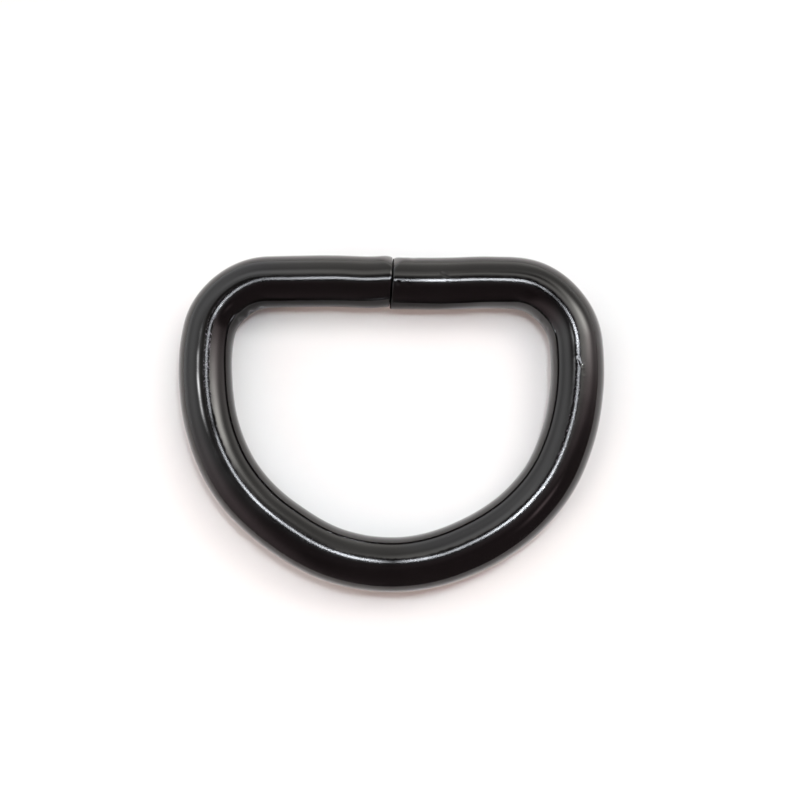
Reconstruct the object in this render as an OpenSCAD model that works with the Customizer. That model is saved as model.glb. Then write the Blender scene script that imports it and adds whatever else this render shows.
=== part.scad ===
// A D ring bent from one piece of round wire, lying flat on a surface.
// The wire's two sheared ends meet in the straight bar with a hairline gap and are not joined.
// Units are millimetres. +Z is up, +Y is the bar's side and -Y the bow's side.
// The origin is under the middle of the ring, on the surface it lies on.

/* [Wire] */
// Diameter of the round wire with its black coat
wire_d = 4.1; // [3:0.1:5]
// Width of the bevel round each sheared end
end_bevel = 0.2; // [0.1:0.05:0.5]

/* [Opening] */
// Clear width between the two sides, taken by the strap
inner_w = 25; // [23:0.5:28]
// Clear height from the bow to the middle of the bar
inner_h = 18.05; // [17:0.05:21]

/* [Bow] */
// How much smaller the bow's radius is than half the ring's width, both at the wire's centre
bow_inset = 0.5; // [0.4:0.05:0.8]
// How far right of the middle the bow's centre lies
bow_shift = 0.35; // [0:0.05:0.4]

/* [Sides] */
// How much larger the left side's radius is than the bow's
left_extra = 1.7; // [1.5:0.1:8]
// How much larger the right side's radius is than the bow's
right_extra = 7.6; // [1.5:0.1:10]

/* [Corners] */
// Inner radius of the left bend between side and bar
left_bend = 2.8; // [2:0.1:4]
// Inner radius of the right bend between side and bar
right_bend = 3.4; // [2:0.1:4]

/* [Seam] */
// Place of the seam along the bar, right of the middle
seam_x = 0.15; // [-2:0.05:2]
// Gap between the two ends of the wire
seam_gap = 0.1; // [0.05:0.01:0.2]
// How much further from the bow the left half of the bar lies than the right half
seam_step = 0.25; // [0:0.05:0.3]

/* [Hidden] */
$fn = 96;

wire_r = wire_d / 2;
half_w = (inner_w + wire_d) / 2;
bow_r = half_w - bow_inset;

// The path is the wire's centre line. Its heights are measured from the bow's outer edge.
bow_y = wire_r + bow_r;
bar_y = 3 * wire_r + inner_h;

// Two arcs that touch share one direction from their centres, a whole hundredth of a degree, and
// each centre is worked out from the one before. So the arcs meet exactly, and the width and the
// height come out within a few thousandths of a millimetre.
function direction(angle) = [cos(angle), sin(angle)];
function hundredth(value) = round(100 * value) / 100;

// One half of the ring, worked out as if it lay on the right. It gives the side and the bend,
// each as [centre, radius, first direction, last direction], and the straight half of the bar
// as [end at the bend, length].
function half_path(shift, extra, bend_inner, end_x, end_y) =
    let (
        side_r = bow_r + extra,
        side_from = -hundredth(acos((side_r + shift - half_w) / extra)),
        side = [shift, bow_y] - extra * direction(side_from),
        bend_r = bend_inner + wire_r,
        bend_from = hundredth(asin((end_y - bend_r - side[1]) / (side_r - bend_r))),
        bend = side + (side_r - bend_r) * direction(bend_from),
        foot = bend + [0, bend_r]
    )
    [[side, side_r, side_from, bend_from], [bend, bend_r, bend_from, 90], [foot, foot[0] - end_x]];

left = half_path(-bow_shift, left_extra, left_bend, seam_gap / 2 - seam_x, bar_y + seam_step / 2);
right = half_path(bow_shift, right_extra, right_bend, seam_gap / 2 + seam_x, bar_y - seam_step / 2);
bow = [[bow_shift, bow_y], bow_r, 180 - left[0][2], 360 + right[0][2]];

// The origin is in the middle between the bow's outer edge and that of the higher half of the bar.
middle_y = (max(left[2][0][1], right[2][0][1]) + wire_r) / 2;

// Puts a piece of wire at a point of the path, in a coarse and a fine step, so that no digit of
// its place is lost when the model is written out as text.
module place(point) {
    coarse = [hundredth(point[0]), hundredth(point[1])];
    translate([coarse[0], coarse[1], wire_r])
        translate(concat(point - coarse, 0))
            children();
}

module bent_wire(arc) {
    place(arc[0])
        rotate_extrude(start = arc[2], angle = arc[3] - arc[2])
            translate([arc[1], 0]) circle(r = wire_r);
}

// Runs from the bend towards the seam and ends in a bevelled rim.
module straight_wire(bar) {
    place(bar[0])
        rotate([0, -90, 0]) {
            cylinder(h = bar[1] - end_bevel, r = wire_r);
            translate([0, 0, bar[1] - end_bevel])
                cylinder(h = end_bevel, r1 = wire_r, r2 = wire_r - end_bevel);
        }
}

module half_wire(half) {
    bent_wire(half[0]);
    bent_wire(half[1]);
    straight_wire(half[2]);
}

module ring() {
    color([0.1, 0.1, 0.11])
        translate([0, -middle_y, 0]) {
            bent_wire(bow);
            half_wire(right);
            mirror([1, 0, 0]) half_wire(left);
        }
}

ring();
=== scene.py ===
import math

import bpy
import numpy as np
from mathutils import Matrix, Vector


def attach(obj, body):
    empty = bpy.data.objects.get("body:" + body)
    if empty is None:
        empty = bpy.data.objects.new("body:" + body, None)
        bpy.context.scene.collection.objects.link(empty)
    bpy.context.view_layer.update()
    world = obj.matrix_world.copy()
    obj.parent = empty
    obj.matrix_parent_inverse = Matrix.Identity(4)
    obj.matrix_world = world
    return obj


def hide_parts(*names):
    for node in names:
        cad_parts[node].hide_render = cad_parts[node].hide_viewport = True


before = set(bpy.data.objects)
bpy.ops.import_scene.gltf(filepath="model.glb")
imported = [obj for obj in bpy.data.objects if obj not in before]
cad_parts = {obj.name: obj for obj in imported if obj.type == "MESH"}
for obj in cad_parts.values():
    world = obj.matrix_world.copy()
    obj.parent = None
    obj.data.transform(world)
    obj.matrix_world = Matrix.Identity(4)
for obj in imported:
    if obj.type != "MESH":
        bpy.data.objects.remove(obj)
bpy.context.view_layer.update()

MM = 0.001

# Sizes of the wire's path in millimetres, with the names and values of part.scad.
WIRE_R = 2.05
INNER_W = 25.0
INNER_H = 18.05
BOW_INSET = 0.5
BOW_SHIFT = 0.35
LEFT_EXTRA = 1.7
RIGHT_EXTRA = 7.6
LEFT_BEND = 2.8
RIGHT_BEND = 3.4
SEAM_X = 0.15
SEAM_GAP = 0.1
SEAM_STEP = 0.25

# A spot on the wire is given by its place, in millimetres along the wire clockwise from the seam, and by
# its turn round the wire in degrees: 0 faces out of the ring, 90 up, 180 into the opening.

# Where the wire strays from its arcs: the place, the half width of the stretch, how far the centre line
# moves outwards and how much thicker the wire is, in millimetres. They follow measured edges.
STRAYS = {
    "right_bar": {"place": 4.4, "half": 4.0, "outwards": -0.14, "thicker": 0.0},
    "right_bend_start": {"place": 9.3, "half": 1.6, "outwards": -0.14, "thicker": 0.0},
    "right_bend_end": {"place": 13.4, "half": 2.4, "outwards": -0.09, "thicker": 0.0},
    "right_side_low": {"place": 24.5, "half": 2.4, "outwards": -0.04, "thicker": 0.0},
    "lower_right_shoulder": {"place": 28.2, "half": 2.4, "outwards": 0.03, "thicker": 0.0},
    "lower_right_flat": {"place": 36.0, "half": 3.6, "outwards": -0.12, "thicker": 0.06},
    "bow_tip": {"place": 43.4, "half": 3.0, "outwards": -0.01, "thicker": 0.0},
    "lower_left_flat": {"place": 50.4, "half": 2.8, "outwards": -0.1, "thicker": 0.03},
    "left_shoulder": {"place": 56.5, "half": 3.0, "outwards": 0.07, "thicker": 0.04},
    "left_side": {"place": 64.5, "half": 3.2, "outwards": -0.1, "thicker": 0.05},
    "left_bend": {"place": 71.8, "half": 2.2, "outwards": -0.06, "thicker": 0.0},
    "left_bar_end": {"place": 83.6, "half": 2.2, "outwards": -0.17, "thicker": 0.0},
}

# Where the wire's section is a little fuller than a circle: place, half length along the wire, turn, half
# width round it in degrees, and height in millimetres.
SHOULDERS = {
    "bar_right": {"place": 4.0, "along": 6.0, "turn": 163, "round": 22, "height": 0.12},
    "bar_left": {"place": 80.0, "along": 6.0, "turn": 163, "round": 22, "height": 0.09},
    "bow_outside": {"place": 42.0, "along": 18.0, "turn": 30, "round": 20, "height": 0.1},
    "left_inside": {"place": 64.0, "along": 7.0, "turn": 163, "round": 22, "height": 0.08},
}

# Points of the rubbed line along the crest, each with its place and turn. They follow where the lamp's
# highlight was measured to lie.
CREST_LINE = {
    "seam": (0, 99.5),
    "right_bend": (12, 99),
    "right_side_top": (17, 95),
    "right_side": (24, 93.5),
    "lower_right": (34, 92.5),
    "bow_right": (40, 94),
    "bow_left": (48, 97.5),
    "lower_left": (55, 100.5),
    "left_side": (60, 104.5),
    "left_side_top": (68, 106.5),
    "left_bend": (72, 105),
    "left_bar": (76, 99.5),
    "seam_again": (85, 99.5),
}

# Painted highlight: how strongly the rubbed line reflects the lamp, and where its highlight is painted
# brighter
# or dimmer: the middle and the half length of the stretch, and the change. They were tuned in steps by the
# line's measured brightness in the photograph and in renders.
USUAL_PAINTED_HIGHLIGHT = 0.42
PAINTED_HIGHLIGHT_CHANGES = {
    "right_bar": (3.6, 1.3, 0.65),
    "right_bend": (13.5, 1.3, -0.3),
    "right_side": (17.0, 1.3, 0.8),
    "lower_right": (31.0, 2.5, 0.35),
    "bow_right": (40.0, 1.2, 0.35),
    "bow_tip": (42.0, 0.9, -0.5),
    "bow_left": (45.0, 2.5, 0.7),
    "lower_left": (53.0, 5.5, 0.6),
    "left_shoulder": (53.3, 1.2, 0.6),
    "left_side": (60.5, 1.0, -0.4),
    "left_bend": (70.0, 1.5, -0.2),
    "left_bar": (79.5, 4.5, 0.5),
}

# Where the strap side of the bar has lost part of its gloss: how far from the seam it reaches on either
# half and how softly it ends, in millimetres, the turns between which it sets in, and the share lost.
DULLED = {"right": 7.0, "left": 17.5, "fade": 3.0, "turns": (148, 156), "share": 0.66}

# Spots beside the crest that have lost most of their gloss: place, turn, half length along the wire in
# millimetres, half width round it in degrees, and the share lost.
DULL_SPOTS = {
    "right_bend": {"place": 17.0, "turn": 105, "along": 3.5, "round": 5.5, "share": 0.95},
    "left_bend": {"place": 70.9, "turn": 121, "along": 1.2, "round": 5, "share": 0.8},
    "beside_seam": {"place": 83.9, "turn": 144.5, "along": 0.9, "round": 3.5, "share": 0.9},
}

# Where the crest is scuffed most: the middle and the half length of each stretch, and its strength.
SCUFFED = {"left_side": (66.0, 4.5, 1.0), "right_side": (23.0, 5.0, 0.6), "bow": (47.0, 6.0, 0.2)}

# How finely the wire's surface is meshed: rings along it, and points round each ring. The points lie a
# little closer together on the upper side.
RINGS = 780
ROUND = 124
UPPER_CROWDING = 0.03

# How much closer together the rings lie at the ends and at the grooves, and how far that reaches in
# millimetres. The spacing is worked out on a finer line of that many steps.
CROWDING = {"at_end": 5, "end_reach": 0.5, "at_groove": 1.5, "groove_reach": 0.7, "steps": 8000}

# Differences along the wire, in millimetres, that only come from rounding and that still mean its end.
ROUNDING = 1e-9
AT_END = 0.001

# The camera's place and the point that it looks at, its lens and its sensor, in millimetres. The first three
# were fitted to the photograph.
CAMERA_AT = (5.509, -13.57, 79.95)
LOOKS_AT = (0.751, 1.834, 0.0)
LENS = 46.26
SENSOR = 36
NEAREST_SEEN = 5


def direction(degrees):
    angle = np.radians(degrees)
    return np.stack([np.cos(angle), np.sin(angle)], -1)


class Bend:
    """A stretch of the centre line on an arc, run clockwise from one direction to another."""

    def __init__(self, centre, radius, first, last):
        self.centre = np.array(centre)
        self.radius = radius
        self.first = first
        self.length = radius * math.radians(first - last)

    def at(self, distance):
        outward = direction(self.first - np.degrees(distance / self.radius))
        return self.centre + self.radius * outward, outward


class Straight:
    """A stretch of the bar, run towards +X."""

    def __init__(self, start, length):
        self.start = np.array(start)
        self.length = length

    def at(self, distance):
        outward = np.tile([0.0, 1.0], (len(distance), 1))
        return self.start + distance[:, None] * np.array([1.0, 0.0]), outward


def half_path(shift, extra, bend_inner, end_x, end_y):
    """One half of the ring as if it lay on the right, as in part.scad."""
    half_w = INNER_W / 2 + WIRE_R
    bow_r = half_w - BOW_INSET
    side_r = bow_r + extra
    side_from = -math.degrees(math.acos((side_r + shift - half_w) / extra))
    side = np.array([shift, WIRE_R + bow_r]) - extra * direction(side_from)
    bend_r = bend_inner + WIRE_R
    bend_from = math.degrees(math.asin((end_y - bend_r - side[1]) / (side_r - bend_r)))
    bend = side + (side_r - bend_r) * direction(bend_from)
    return {
        "side": (side, side_r),
        "bend": (bend, bend_r),
        "side_from": side_from,
        "bend_from": bend_from,
        "bar": (np.array([bend[0], end_y]), bend[0] - end_x),
    }


def mirrored(centre):
    return np.array([-centre[0], centre[1]])


def wire_path():
    """The stretches of the centre line, clockwise from the seam, and the height of the frame's origin."""
    bar_y = 3 * WIRE_R + INNER_H
    bow_r = INNER_W / 2 + WIRE_R - BOW_INSET
    right = half_path(BOW_SHIFT, RIGHT_EXTRA, RIGHT_BEND, SEAM_X + SEAM_GAP / 2, bar_y - SEAM_STEP / 2)
    left = half_path(-BOW_SHIFT, LEFT_EXTRA, LEFT_BEND, SEAM_GAP / 2 - SEAM_X, bar_y + SEAM_STEP / 2)
    right_foot, right_bar = right["bar"]
    left_foot, left_bar = left["bar"]
    stretches = [
        Straight((right_foot[0] - right_bar, right_foot[1]), right_bar),
        Bend(*right["bend"], 90, right["bend_from"]),
        Bend(*right["side"], right["bend_from"], right["side_from"]),
        Bend((BOW_SHIFT, WIRE_R + bow_r), bow_r, right["side_from"], -180 - left["side_from"]),
        Bend(mirrored(left["side"][0]), left["side"][1], -180 - left["side_from"], -180 - left["bend_from"]),
        Bend(mirrored(left["bend"][0]), left["bend"][1], -180 - left["bend_from"], -270),
        Straight(mirrored(left_foot), left_bar),
    ]
    return stretches, (left_foot[1] + WIRE_R) / 2


def bell(value, middle, half):
    return np.exp(-(((value - middle) / half) ** 2))


def stations(total):
    """Places of the rings along the wire, closer together at the ends and at the small marks."""
    even = np.linspace(0, total, CROWDING["steps"])
    from_end = np.minimum(even, total - even)
    weight = 1 + CROWDING["at_end"] * np.exp(-from_end / CROWDING["end_reach"])
    for groove in GROOVES.values():
        middle = (groove["start"][0] + groove["end"][0]) / 2
        weight += CROWDING["at_groove"] * bell(even, middle, CROWDING["groove_reach"])
    filled = np.concatenate([[0], np.cumsum((weight[1:] + weight[:-1]) / 2)])
    return np.interp(np.linspace(0, filled[-1], RINGS), filled, even)


def turns():
    """Turns of the points round the wire in degrees, from the bottom, closer together on the upper side."""
    even = np.arange(ROUND) / ROUND
    return -90 + 360 * (even + UPPER_CROWDING * np.sin(2 * np.pi * even))


def centre_line():
    """Each ring's place along the wire, its centre and its outward direction, in millimetres."""
    stretches, middle_y = wire_path()
    total = sum(stretch.length for stretch in stretches)
    place = stations(total)
    centres = np.zeros((RINGS, 2))
    outwards = np.zeros((RINGS, 2))
    start = 0.0
    for stretch in stretches:
        inside = (place >= start - ROUNDING) & (place <= start + stretch.length + ROUNDING)
        centres[inside], outwards[inside] = stretch.at(place[inside] - start)
        start += stretch.length
    return place, centres - [0, middle_y], outwards


def strays_at(place, column):
    """The sum of one column of STRAYS at each place along the wire."""
    total = np.zeros(len(place))
    for row in STRAYS.values():
        total += row[column] * bell(place, row["place"], row["half"])
    return total


# The sheared ends. The shear left both faces slightly off square, so they lie further right on top and
# further left on the inner side. The gap between them stays the same all round.
END_OFFSET = {"all_round": 0.014, "outer_side": 0.093, "top": 0.256}
END_REACH = 1.0

# How each end rolls over at its rim: a narrow bevel all round, and a wide one on the outer side, with the
# turn of its middle and its half width in degrees, and its width and depth in millimetres.
BEVELS = {
    "right": {"rim": (0.09, 0.05), "turn": 40, "half": 24, "width": 0.95, "depth": 0.15},
    "left": {"rim": (0.09, 0.05), "turn": 38, "half": 30, "width": 0.85, "depth": 0.2},
}

# Small dents (below zero) and bumps: place, turn, half length along the wire in millimetres, half width
# round it in degrees, and height in millimetres.
DENTS = {
    "seam_burr": {"place": 0.5, "turn": 107, "along": 0.14, "round": 5, "height": -0.03},
    "bar_nick": {"place": 1.4, "turn": 111, "along": 0.14, "round": 3, "height": -0.03},
    "bar_step": {"place": 1.75, "turn": 30, "along": 0.3, "round": 16, "height": -0.03},
    "bend_bump": {"place": 11.76, "turn": 99, "along": 0.3, "round": 6, "height": 0.01},
    "right_kink": {"place": 13.9, "turn": 166, "along": 0.3, "round": 9, "height": 0.04},
    "right_pit": {"place": 15.2, "turn": 163, "along": 0.28, "round": 6, "height": -0.03},
    "left_kink_low": {"place": 71.0, "turn": 172, "along": 0.35, "round": 14, "height": -0.09},
    "left_ridge": {"place": 71.9, "turn": 180, "along": 0.3, "round": 14, "height": 0.07},
    "left_kink_high": {"place": 72.8, "turn": 180, "along": 0.35, "round": 12, "height": -0.1},
    "left_crumple": {"place": 74.3, "turn": 184, "along": 0.45, "round": 12, "height": -0.08},
}

# Scratches and nicks that run from one spot (place, turn) to another, with their half width and depth. The
# lips beside each stand up by a share of its depth.
LIP_SHARE = 0.35
GROOVES = {
    "bar_scratch": {"start": (4.0, 83), "end": (4.45, 94), "half": 0.07, "depth": 0.02},
    "side_nick": {"start": (18.7, 95), "end": (19.4, 86), "half": 0.07, "depth": 0.012},
    "side_nick_branch": {"start": (19.3, 86), "end": (20.0, 82), "half": 0.06, "depth": 0.008},
}

# Slow waves of the surface, from bending and coating: their height in millimetres, and the range of their
# lengths along the wire. Each wave has its own number of turns round the wire.
WAVES = {"count": 26, "height": 0.0022, "shortest": 1.6, "longest": 6.0, "most_turns": 3}

# How far the whole surface lies inside the round wire, so that no wave stands out of the part's box.
SUNK = 0.012


def rolled_rim(from_end, turn, bevel):
    """How far the surface drops towards one end."""
    share = bell(turn, bevel["turn"], bevel["half"])
    width = bevel["rim"][0] + share * bevel["width"]
    depth = bevel["rim"][1] + share * bevel["depth"]
    return depth * np.clip(1 - from_end / width, 0, 1) ** 2


def groove_height(place, turn, start, end, half, depth):
    """A groove with a slightly raised lip on both sides, on the unrolled surface."""
    per_degree = WIRE_R * math.pi / 180
    along = end[0] - start[0]
    around = (end[1] - start[1]) * per_degree
    x = place - start[0]
    y = (turn - start[1]) * per_degree
    share = np.clip((x * along + y * around) / (along**2 + around**2), 0, 1)
    away = np.hypot(x - share * along, y - share * around)
    return depth * (LIP_SHARE * bell(away, 2 * half, half) - bell(away, 0, half))


def waves(place, turn):
    """Slow seeded waves of the whole surface."""
    rng = np.random.default_rng(7)
    total = np.zeros(np.broadcast(place, turn).shape)
    for _ in range(WAVES["count"]):
        length = rng.uniform(WAVES["shortest"], WAVES["longest"])
        times = rng.integers(0, WAVES["most_turns"] + 1)
        start = rng.uniform(0, 2 * np.pi)
        total += np.sin(2 * np.pi * place / length + times * np.radians(turn) + start)
    return WAVES["height"] * total / math.sqrt(WAVES["count"] / 2)


def surface_height(place, turn, total):
    """All small departures of the surface from the round wire, outwards."""
    height = waves(place, turn)
    for dent in [*SHOULDERS.values(), *DENTS.values()]:
        height = height + dent["height"] * bell(place, dent["place"], dent["along"]) * bell(
            turn, dent["turn"], dent["round"])
    for groove in GROOVES.values():
        height = height + groove_height(place, turn, **groove)
    height = height - rolled_rim(place, turn, BEVELS["right"])
    return height - rolled_rim(total - place, turn, BEVELS["left"]) - SUNK


def wire_surface():
    """Points of the wire's surface, one row for each ring, with their places and turns."""
    place, centres, outwards = centre_line()
    centres = centres + strays_at(place, "outwards")[:, None] * outwards
    place = place[:, None]
    turn = turns()[None, :]
    angle = np.radians(turn)
    total = place[-1, 0]
    thicker = strays_at(place[:, 0], "thicker")[:, None] / 2
    radius = WIRE_R + thicker * np.cos(angle) ** 2 + surface_height(place, turn, total)
    across = radius * np.cos(angle)
    points = np.zeros((RINGS, ROUND, 3))
    points[..., :2] = centres[:, None, :] + across[..., None] * outwards[:, None, :]
    points[..., 2] = WIRE_R + radius * np.sin(angle)
    offset = END_OFFSET["all_round"] + END_OFFSET["outer_side"] * np.cos(angle)
    offset = offset + END_OFFSET["top"] * np.sin(angle)
    points[..., 0] += offset * bell(np.minimum(place, total - place), 0, END_REACH)
    points[..., 2] -= points[..., 2].min()
    return points, np.broadcast_to(place, across.shape), np.broadcast_to(turn, across.shape)


def wire_faces():
    """Quads of the wall, and a fan of triangles on each end."""
    index = np.arange(RINGS * ROUND).reshape(RINGS, ROUND)
    following = np.roll(index, -1, axis=1)
    quads = np.stack([index[:-1], following[:-1], following[1:], index[1:]], -1).reshape(-1, 4)
    first_middle = RINGS * ROUND
    fans = [[first_middle, b, a] for a, b in zip(index[0], following[0])]
    fans += [[first_middle + 1, a, b] for a, b in zip(index[-1], following[-1])]
    return quads, fans


def add_wire_map(mesh, place, quads, fans):
    """A UV map with U along the wire, which gives the gloss its direction."""
    share = np.tile(np.arange(ROUND) / ROUND, RINGS)
    corners = np.zeros((len(quads), 4, 2))
    corners[..., 0] = place.reshape(-1)[quads]
    corners[..., 1] = share[quads]
    corners[:, 1:3, 1] = corners[:, [0, 3], 1] + 1 / ROUND
    corners[..., 0] /= place.max()
    ends = np.full((len(fans) * 3, 2), 0.5)
    layer = mesh.uv_layers.new(name="along_wire")
    layer.data.foreach_set("uv", np.concatenate([corners.reshape(-1, 2), ends]).ravel())


def add_column(mesh, name, values, at_ends):
    """A number for each point of the wall, and one for the middle of both ends."""
    column = mesh.attributes.new(name, "FLOAT", "POINT")
    column.data.foreach_set("value", np.append(values.ravel(), [at_ends, at_ends]))


def gloss_left(place, turn):
    """The share of the coat's gloss that is left: less on the strap's side of the bar and on dull spots."""
    total = place.max()
    low, high = DULLED["turns"]
    sets_in = np.clip((turn - low) / (high - low), 0, 1)
    on_right = np.clip((DULLED["right"] - place) / DULLED["fade"], 0, 1)
    on_left = np.clip((DULLED["left"] - (total - place)) / DULLED["fade"], 0, 1)
    left = 1 - DULLED["share"] * sets_in * np.maximum(on_right, on_left)
    for spot in DULL_SPOTS.values():
        near = bell(place, spot["place"], spot["along"]) * bell(turn, spot["turn"], spot["round"])
        left = left * (1 - spot["share"] * near)
    return left


def add_wire_attributes(mesh, place, turn):
    """What the material needs to know at each point of the wire's surface."""
    at_end = np.minimum(place, place.max() - place) < AT_END
    scuffed = sum(strength * bell(place, middle, half) for middle, half, strength in SCUFFED.values())
    add_column(mesh, "sheared", at_end.astype(float), 1.0)
    add_column(mesh, "gloss_left", np.where(at_end, 0, gloss_left(place, turn)), 0.0)
    add_column(mesh, "scuffed", scuffed, 0.0)
    angle = np.radians(turn)
    spots = np.stack([place, WIRE_R * np.cos(angle), WIRE_R * np.sin(angle)], -1).reshape(-1, 3)
    middles = [[place.min(), 0, 0], [place.max(), 0, 0]]
    spot = mesh.attributes.new("wire_spot", "FLOAT_VECTOR", "POINT")
    spot.data.foreach_set("vector", np.concatenate([spots, middles]).ravel())
    crest_turn = np.interp(place, *zip(*CREST_LINE.values()))
    # The painted highlight: how strongly the rubbed line reflects, set place by place.
    changes = sum(change * bell(place, middle, half) for middle, half, change in PAINTED_HIGHLIGHT_CHANGES.values())
    add_column(mesh, "off_crest", turn - crest_turn, 180.0)
    add_column(mesh, "painted_highlight_strength", USUAL_PAINTED_HIGHLIGHT + changes, 0.0)


def build_ring(material):
    points, place, turn = wire_surface()
    quads, fans = wire_faces()
    middles = np.stack([points[0].mean(axis=0), points[-1].mean(axis=0)])
    vertices = np.concatenate([points.reshape(-1, 3), middles]) * MM
    mesh = bpy.data.meshes.new("wire_ring")
    mesh.from_pydata(vertices.tolist(), [], quads.tolist() + fans)
    smooth = np.arange(len(mesh.polygons)) < len(quads)
    mesh.polygons.foreach_set("use_smooth", smooth)
    add_wire_map(mesh, place, quads, fans)
    add_wire_attributes(mesh, place, turn)
    mesh.materials.append(material)
    ring = bpy.data.objects.new("wire_ring", mesh)
    bpy.context.scene.collection.objects.link(ring)
    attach(ring, "root")
    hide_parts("ring")
    return ring


def math_node(tree, kind, *values):
    node = tree.nodes.new("ShaderNodeMath")
    node.operation = kind
    for socket, value in zip(node.inputs, values):
        if isinstance(value, bpy.types.NodeSocket):
            tree.links.new(value, socket)
        else:
            socket.default_value = value
    return node.outputs[0]


def mix_colours(tree, share, first, second):
    node = tree.nodes.new("ShaderNodeMix")
    node.data_type = "RGBA"
    tree.links.new(share, node.inputs["Factor"])
    for socket, value in zip((node.inputs[6], node.inputs[7]), (first, second)):
        if isinstance(value, bpy.types.NodeSocket):
            tree.links.new(value, socket)
        else:
            socket.default_value = (*value, 1)
    return node.outputs[2]


def step_node(tree, value, low, high, at_low, at_high):
    node = tree.nodes.new("ShaderNodeMapRange")
    node.interpolation_type = "SMOOTHSTEP"
    tree.links.new(value, node.inputs["Value"])
    for name, number in zip(("From Min", "From Max", "To Min", "To Max"), (low, high, at_low, at_high)):
        node.inputs[name].default_value = number
    return node.outputs["Result"]


def attribute_node(tree, name):
    node = tree.nodes.new("ShaderNodeAttribute")
    node.attribute_name = name
    return node


def wire_noise(tree, per_mm, detail=2.0):
    """Noise on the wire, with its number of grains per millimetre along the wire and round it."""
    spot = attribute_node(tree, "wire_spot").outputs["Vector"]
    scaled = tree.nodes.new("ShaderNodeVectorMath")
    scaled.operation = "MULTIPLY"
    tree.links.new(spot, scaled.inputs[0])
    scaled.inputs[1].default_value = (per_mm[0], per_mm[1], per_mm[1])
    noise = tree.nodes.new("ShaderNodeTexNoise")
    tree.links.new(scaled.outputs[0], noise.inputs["Vector"])
    noise.inputs["Scale"].default_value = 1.0
    noise.inputs["Detail"].default_value = detail
    return noise.outputs["Fac"]


def noise_between(tree, per_mm, least, most):
    """Noise on the wire that runs from the least value to the most."""
    return step_node(tree, wire_noise(tree, per_mm), *NOISE_RANGE, least, most)


def near_crest(tree, inner, outer):
    """One on the rubbed line, fading to zero between two distances from it in degrees."""
    off = attribute_node(tree, "off_crest").outputs["Fac"]
    wander = noise_between(tree, RAGGED["per_mm"], -RAGGED["degrees"], RAGGED["degrees"])
    ragged = math_node(tree, "ADD", off, wander)
    return step_node(tree, math_node(tree, "ABSOLUTE", ragged), inner, outer, 1, 0)


def bump(tree, height, microns, below=None):
    """A bump of that many micrometres from the lowest to the highest value of the height."""
    node = tree.nodes.new("ShaderNodeBump")
    node.inputs["Strength"].default_value = 1.0
    node.inputs["Distance"].default_value = microns * 0.001 * MM
    tree.links.new(height, node.inputs["Height"])
    if below is not None:
        tree.links.new(below, node.inputs["Normal"])
    return node.outputs["Normal"]


# Relief of the finish in micrometres: the coat's grain, fine grooves round the wire left by tumbling, and
# the pits where the crest has rubbed on things.
GRAIN = {"per_mm": (6.0, 6.0), "microns": 0.55}
GROOVING = {"per_mm": (12.0, 0.5), "microns": 0.3}
COARSE_GROOVING = {"per_mm": (5.0, 0.6), "microns": 1.5}
SCUFFS = {"per_mm": (5.0, 7.0), "detail": 3.0, "specks": (0.55, 0.66), "reach": (3.0, 9.0), "microns": 0.4}

# The rubbed line: the distances in degrees between which the coat comes back, the share of it that is
# rubbed off, and how far the line's edges wander.
RUBBED = {"reach": (4.0, 8.0), "share": 0.995}
RAGGED = {"per_mm": (1.5, 1.0), "degrees": 1.2}

# The colours of the coat, which drifts slowly from one to the other, and of the scuffs.
COAT_DARK = (0.0006, 0.0004, 0.0005)
COAT_LIGHT = (0.0022, 0.0015, 0.0016)
COAT_DRIFT = (1.5, 1.5)
WORN = (0.15, 0.14, 0.165)

# The roughness under the coat, and how much rougher scuffs and the sheared ends are.
ROUGHNESS = {"per_mm": (2.0, 3.0), "least": 0.23, "most": 0.27, "scuffs": 0.12, "sheared": 0.6}

# The finish's numbers that are the same all over.
UNIFORM = {
    "IOR": 1.5,
    "Anisotropic": 1.0,
    "Specular IOR Level": 0.08,
    "Coat Roughness": 0.06,
    "Coat IOR": 1.5,
}

# Nearly all values of a noise lie in this range.
NOISE_RANGE = (0.3, 0.7)

# The floor: half its width in metres, its colour, its roughness and its gloss.
FLOOR = {"half": 1.5, "colour": (0.77, 0.77, 0.77, 1), "roughness": 0.9, "gloss": 0.1}


def scuff_mask(tree):
    """Small worn specks along the crest, most of them where it is scuffed."""
    crest = near_crest(tree, *SCUFFS["reach"])
    specks = step_node(tree, wire_noise(tree, SCUFFS["per_mm"], SCUFFS["detail"]), *SCUFFS["specks"], 0, 1)
    scuffed = attribute_node(tree, "scuffed").outputs["Fac"]
    return math_node(tree, "MULTIPLY", crest, math_node(tree, "MULTIPLY", specks, scuffed))


def finish_colour(tree, scuffs):
    coat = mix_colours(tree, wire_noise(tree, COAT_DRIFT), COAT_DARK, COAT_LIGHT)
    return mix_colours(tree, scuffs, coat, WORN)


def finish_roughness(tree, scuffs):
    patchy = noise_between(tree, ROUGHNESS["per_mm"], ROUGHNESS["least"], ROUGHNESS["most"])
    rougher = math_node(tree, "MULTIPLY", scuffs, ROUGHNESS["scuffs"])
    sheared = attribute_node(tree, "sheared").outputs["Fac"]
    rough_ends = math_node(tree, "MULTIPLY", sheared, ROUGHNESS["sheared"])
    return math_node(tree, "ADD", math_node(tree, "ADD", patchy, rougher), rough_ends)


def coat_weight(tree):
    """How much of the coat is left: little on the rubbed line and on the dulled parts."""
    rubbed = math_node(tree, "MULTIPLY", near_crest(tree, *RUBBED["reach"]), RUBBED["share"])
    gloss = attribute_node(tree, "gloss_left").outputs["Fac"]
    return math_node(tree, "MULTIPLY", gloss, math_node(tree, "SUBTRACT", 1, rubbed))


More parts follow.
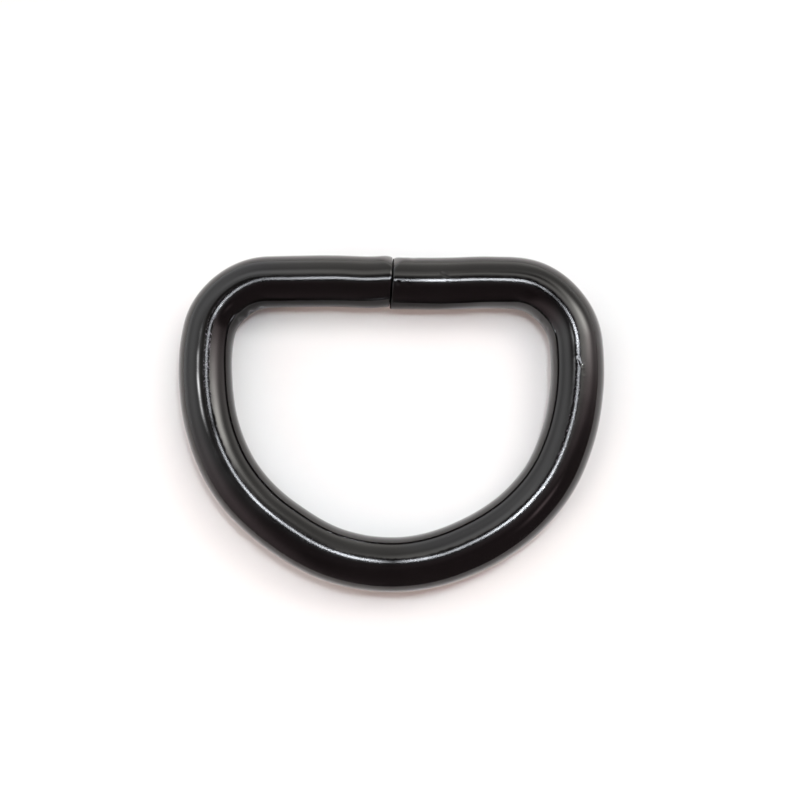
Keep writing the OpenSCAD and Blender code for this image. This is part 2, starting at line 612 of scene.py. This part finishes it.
def finish_relief(tree, scuffs):
    """The bumps of the coat, and those of the wire under it."""
    grain = bump(tree, wire_noise(tree, GRAIN["per_mm"]), GRAIN["microns"])
    grooved = bump(tree, wire_noise(tree, GROOVING["per_mm"]), GROOVING["microns"], grain)
    pitted = bump(tree, scuffs, -SCUFFS["microns"], grooved)
    coarse = bump(tree, wire_noise(tree, COARSE_GROOVING["per_mm"]), COARSE_GROOVING["microns"], pitted)
    return pitted, coarse


def along_wire(tree):
    tangent = tree.nodes.new("ShaderNodeTangent")
    tangent.direction_type = "UV_MAP"
    tangent.uv_map = "along_wire"
    return tangent.outputs[0]


def black_finish():
    """A glossy black coat, rubbed off the crest, over wire that spreads the gloss along itself."""
    material = bpy.data.materials.new("black_finish")
    material.use_nodes = True
    tree = material.node_tree
    shader = tree.nodes["Principled BSDF"]
    for name, value in UNIFORM.items():
        shader.inputs[name].default_value = value
    scuffs = scuff_mask(tree)
    coat_normal, wire_normal = finish_relief(tree, scuffs)
    sources = {
        "Base Color": finish_colour(tree, scuffs),
        "Roughness": finish_roughness(tree, scuffs),
        # The specular tint paints the rubbed line's highlight brighter or dimmer place by place.
        "Specular Tint": attribute_node(tree, "painted_highlight_strength").outputs["Color"],
        "Coat Weight": coat_weight(tree),
        "Coat Normal": coat_normal,
        "Normal": wire_normal,
        "Tangent": along_wire(tree),
    }
    for name, source in sources.items():
        tree.links.new(source, shader.inputs[name])
    return material


def build_floor():
    material = bpy.data.materials.new("pale_floor")
    material.use_nodes = True
    shader = material.node_tree.nodes["Principled BSDF"]
    shader.inputs["Base Color"].default_value = FLOOR["colour"]
    shader.inputs["Roughness"].default_value = FLOOR["roughness"]
    shader.inputs["Specular IOR Level"].default_value = FLOOR["gloss"]
    size = FLOOR["half"]
    mesh = bpy.data.meshes.new("floor")
    corners = [(-size, -size, 0), (size, -size, 0), (size, size, 0), (-size, size, 0)]
    mesh.from_pydata(corners, [], [(0, 1, 2, 3)])
    mesh.materials.append(material)
    floor = bpy.data.objects.new("floor", mesh)
    bpy.context.scene.collection.objects.link(floor)


# What the gloss mirrors besides the lamp. The far half is bright, most of all low down, and the viewer's
# half is dim. NEAR_EDGE is where the one fades into the other, and FAR_EDGE where the far half's left
# colour fades into its right one. NEAR_SIDE, NEAR_EDGE and FAR_LIGHT, but for its "from", come from the same
# fit as the patches.
NEAR_SIDE = (0.236, -0.972, 0)
NEAR_EDGE = (-0.4, 0.42)
FAR_LIGHT = {"low": 1.34, "high": 0.63, "from": 0.1, "to": 0.43}
NEAR_LIGHT = 0.13
FAR_EDGE = (-0.21, -0.1)
FAR_LEFT_COLOUR = (0.99, 1.0, 1.01)
FAR_RIGHT_COLOUR = (1.03, 1.01, 0.96)
NEAR_COLOUR = (1.2, 0.93, 0.97)

# Patches of the surroundings, in the order in which they change it. Each has its middle as degrees from the
# zenith towards +X and +Y, its half widths in degrees and the turn of its long side from +X towards +Y.
# A bright one adds its light, and a dark one takes away a share. All fade with the same fall-off.
# Of the 54 numbers, 45 are the rounded output of a least-squares fit to the light that the wire mirrors in
# the photograph. The other nine were changed after it: the window's, but for its turn, and one half
# width and the light of each lamp.
PATCH_FALL_OFF = 0.7
PATCHES = {
    "window": {"middle": (35, 27), "half": (14.0, 7.5), "turn": -23, "light": 8.0},
    "window_top": {"middle": (7, 23), "half": (20, 7.2), "turn": -14, "light": 3.3},
    "left_lamp": {"middle": (-20.0, 11.0), "half": (3.6, 1.6), "turn": 10, "light": 26.0},
    "left_glow": {"middle": (-48, 14), "half": (15, 57), "turn": -14, "light": 0.7},
    "left_dark": {"middle": (-8, 5.7), "half": (17, 5), "turn": 42, "share": 0.97},
    "centre_dark": {"middle": (10.5, 30.7), "half": (14.4, 6.5), "turn": 14, "share": 0.9},
    "near_dark": {"middle": (-29.5, -44.5), "half": (11.6, 41), "turn": -30, "share": 0.62},
    "right_glow": {"middle": (45, 5.3), "half": (31, 6), "turn": 24, "light": 0.3},
    "right_lamp": {"middle": (37.3, -23.8), "half": (4.1, 5.4), "turn": -3, "light": 1.0},
}

# The lamp over the ring, its middle and its width in millimetres and its power in watts. The wire mirrors
# it in a thin line, and its weaker twin at the same spot throws the shadows. The place was fitted to where
# the line runs in the photograph.
LAMP = {"at": (14.4, 4.9, 99.9), "width": 17.0, "power": 0.66}
LAMP_COLOUR = (0.96, 1.0, 1.06)
SHADOW_LAMP = {"at": (14.4, 4.9, 99.9), "width": 17.0, "power": 0.047}
SHADOW_COLOUR = (0.92, 1.0, 1.06)

# Two large soft panels on the viewer's left and right that only light the floor's shadows.
LEFT_FILL = {"at": (-380.0, -260.0, 340.0), "width": 450.0, "power": 1.15}
RIGHT_FILL = {"at": (380.0, -300.0, 340.0), "width": 450.0, "power": 0.65}
FILL_COLOUR = (1.0, 0.78, 0.67)


def dot_node(tree, a, vector):
    node = tree.nodes.new("ShaderNodeVectorMath")
    node.operation = "DOT_PRODUCT"
    tree.links.new(a, node.inputs[0])
    node.inputs[1].default_value = vector
    return node.outputs["Value"]


def sky_direction(x_degrees, y_degrees):
    """The direction that many degrees from the zenith."""
    lean = math.radians(math.hypot(x_degrees, y_degrees))
    around = math.atan2(y_degrees, x_degrees)
    return Vector((math.sin(lean) * math.cos(around), math.sin(lean) * math.sin(around), math.cos(lean)))


def soft_patch(tree, looking, middle, half, turn):
    """One at the middle of a patch of the surroundings, fading softly to zero."""
    centre = sky_direction(*middle)
    side = Vector((0, 1, 0)).cross(centre).normalized()
    other = centre.cross(side)
    angle = math.radians(turn)
    long_axis = side * math.cos(angle) + other * math.sin(angle)
    short_axis = other * math.cos(angle) - side * math.sin(angle)
    u = dot_node(tree, looking, long_axis / math.sin(math.radians(half[0])))
    v = dot_node(tree, looking, short_axis / math.sin(math.radians(half[1])))
    spread = math_node(tree, "ADD", math_node(tree, "MULTIPLY", u, u), math_node(tree, "MULTIPLY", v, v))
    soft = math_node(tree, "EXPONENT", math_node(tree, "MULTIPLY", spread, -PATCH_FALL_OFF))
    ahead = math_node(tree, "GREATER_THAN", dot_node(tree, looking, centre), 0)
    return math_node(tree, "MULTIPLY", soft, ahead)


def with_patch(tree, looking, total, middle, half, turn, light=0.0, share=0.0):
    """The brightness so far with one patch added to it or taken out of it."""
    patch = soft_patch(tree, looking, middle, half, turn)
    if share:
        left = math_node(tree, "SUBTRACT", 1, math_node(tree, "MULTIPLY", patch, share))
        return math_node(tree, "MULTIPLY", total, left)
    return math_node(tree, "ADD", total, math_node(tree, "MULTIPLY", patch, light))


def level_direction(tree, looking):
    """The direction without its height, as a unit vector."""
    flat = tree.nodes.new("ShaderNodeVectorMath")
    flat.operation = "MULTIPLY"
    tree.links.new(looking, flat.inputs[0])
    flat.inputs[1].default_value = (1, 1, 0)
    unit = tree.nodes.new("ShaderNodeVectorMath")
    unit.operation = "NORMALIZE"
    tree.links.new(flat.outputs[0], unit.inputs[0])
    return unit.outputs[0]


def build_surroundings():
    """What the gloss mirrors: a bright far half, a dark near half, and bright and dark patches."""
    world = bpy.data.worlds.new("studio")
    bpy.context.scene.world = world
    world.use_nodes = True
    tree = world.node_tree
    looking = tree.nodes.new("ShaderNodeTexCoord").outputs["Generated"]
    nearness = dot_node(tree, level_direction(tree, looking), NEAR_SIDE)
    near_half = step_node(tree, nearness, *NEAR_EDGE, 0, 1)
    height = dot_node(tree, looking, (0, 0, 1))
    far_light = step_node(tree, height, *(FAR_LIGHT[key] for key in ("from", "to", "low", "high")))
    far_part = math_node(tree, "MULTIPLY", far_light, math_node(tree, "SUBTRACT", 1, near_half))
    total = math_node(tree, "ADD", far_part, math_node(tree, "MULTIPLY", near_half, NEAR_LIGHT))
    for patch in PATCHES.values():
        total = with_patch(tree, looking, total, **patch)
    rightness = step_node(tree, dot_node(tree, looking, (1, 0, 0)), *FAR_EDGE, 0, 1)
    far_colour = mix_colours(tree, rightness, FAR_LEFT_COLOUR, FAR_RIGHT_COLOUR)
    background = tree.nodes["Background"]
    tree.links.new(mix_colours(tree, near_half, far_colour, NEAR_COLOUR), background.inputs["Color"])
    tree.links.new(total, background.inputs["Strength"])


def area_light(name, at, width, power, colour):
    lamp = bpy.data.lights.new(name, "AREA")
    lamp.shape = "DISK"
    lamp.size = width * MM
    lamp.energy = power
    lamp.color = colour
    light = bpy.data.objects.new(name, lamp)
    bpy.context.scene.collection.objects.link(light)
    light.location = Vector(at) * MM
    light.rotation_euler = (-Vector(at)).to_track_quat("-Z", "Y").to_euler()
    light.visible_camera = False
    return light


def build_lights():
    lamp = area_light("near_lamp", colour=LAMP_COLOUR, **LAMP)
    lamp.visible_diffuse = False
    twin = area_light("shadow_lamp", colour=SHADOW_COLOUR, **SHADOW_LAMP)
    twin.visible_glossy = False
    for name, panel in (("left_fill", LEFT_FILL), ("right_fill", RIGHT_FILL)):
        fill = area_light(name, colour=FILL_COLOUR, **panel)
        fill.visible_glossy = False


def build_camera():
    at = Vector(CAMERA_AT) * MM
    forward = (Vector(LOOKS_AT) * MM - at).normalized()
    right = forward.cross(Vector((0, 1, 0))).normalized()
    up = right.cross(forward)
    lens = bpy.data.cameras.new("camera")
    lens.sensor_width = SENSOR
    lens.lens = LENS
    lens.clip_start = NEAREST_SEEN * MM
    camera = bpy.data.objects.new("camera", lens)
    bpy.context.scene.collection.objects.link(camera)
    turn = Matrix((right, up, -forward)).transposed().to_4x4()
    camera.matrix_world = Matrix.Translation(at) @ turn
    bpy.context.scene.camera = camera


build_camera()
build_ring(black_finish())
build_floor()
build_surroundings()
build_lights()
bpy.context.scene.view_settings.view_transform = "Standard"
